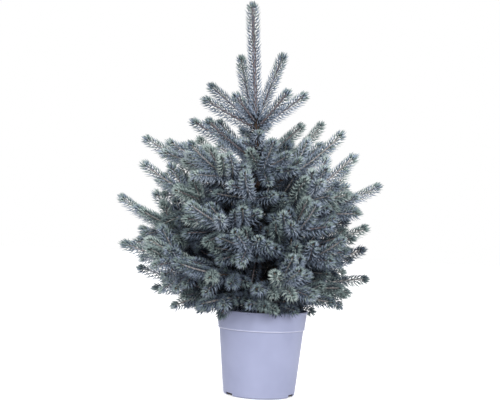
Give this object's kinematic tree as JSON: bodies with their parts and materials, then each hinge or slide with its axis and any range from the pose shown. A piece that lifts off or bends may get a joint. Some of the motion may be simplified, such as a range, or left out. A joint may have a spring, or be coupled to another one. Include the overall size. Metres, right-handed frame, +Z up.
{
  "type": "potted blue spruce",
  "caption": "Young blue spruce with a straight leader, whorls of needled limbs and a full conical crown, growing in a plain tapered plastic nursery container with a rim band.",
  "frame": {"origin": "centre of the container's flat underside", "axes": "+Z up along the container's axis, -Y towards the side seen in front, +X to the right of that side"},
  "size_m": [0.7086, 0.5823, 1.032],
  "materials": {
    "pot": "injection-moulded pale lilac-blue polypropylene, satin",
    "soil": "damp dark peat-based potting soil, crumbly and matt",
    "bark": "thin grey-brown bark, rough with peg-like leaf bases, matt",
    "needles": "stiff blue-green needles with a pale waxy bloom, satin"
  },
  "bodies": {
    "root": {"pot": "pot", "soil": "soil", "trunk": "bark", "bough_lower_1": "bark", "bough_lower_2": "bark", "bough_lower_3": "bark", "bough_lower_4": "bark", "bough_lower_5": "bark", "bough_lower_6": "bark", "foliage_internode_1": "needles", "foliage_internode_2": "needles", "foliage_internode_3": "needles", "foliage_internode_4": "needles", "foliage_internode_5": "needles", "foliage_leader": "needles", "foliage_lower_1": "needles", "foliage_lower_2": "needles", "foliage_lower_3": "needles", "foliage_lower_4": "needles", "foliage_lower_5": "needles", "foliage_lower_6": "needles", "foliage_middle_1": "needles", "foliage_middle_2": "needles", "foliage_middle_3": "needles", "foliage_middle_4": "needles", "foliage_middle_5": "needles", "foliage_middle_6": "needles", "foliage_shoulder_1": "needles", "foliage_shoulder_2": "needles", "foliage_shoulder_3": "needles", "foliage_shoulder_4": "needles", "foliage_shoulder_5": "needles", "foliage_shoulder_6": "needles", "foliage_shoulder_7": "needles", "foliage_skirt_1": "needles", "foliage_skirt_2": "needles", "foliage_skirt_3": "needles", "foliage_skirt_4": "needles", "foliage_skirt_5": "needles", "foliage_skirt_6": "needles", "foliage_skirt_7": "needles", "foliage_top_1": "needles", "foliage_top_2": "needles", "foliage_top_3": "needles", "foliage_top_4": "needles", "foliage_top_5": "needles", "foliage_top_6": "needles", "foliage_top_7": "needles", "foliage_upper_1": "needles", "foliage_upper_2": "needles", "foliage_upper_3": "needles", "foliage_upper_4": "needles", "foliage_upper_5": "needles", "foliage_upper_6": "needles", "foliage_waist_1": "needles", "foliage_waist_2": "needles", "foliage_waist_3": "needles", "foliage_waist_4": "needles", "foliage_waist_5": "needles", "foliage_waist_6": "needles"}
  },
  "joints": []
}
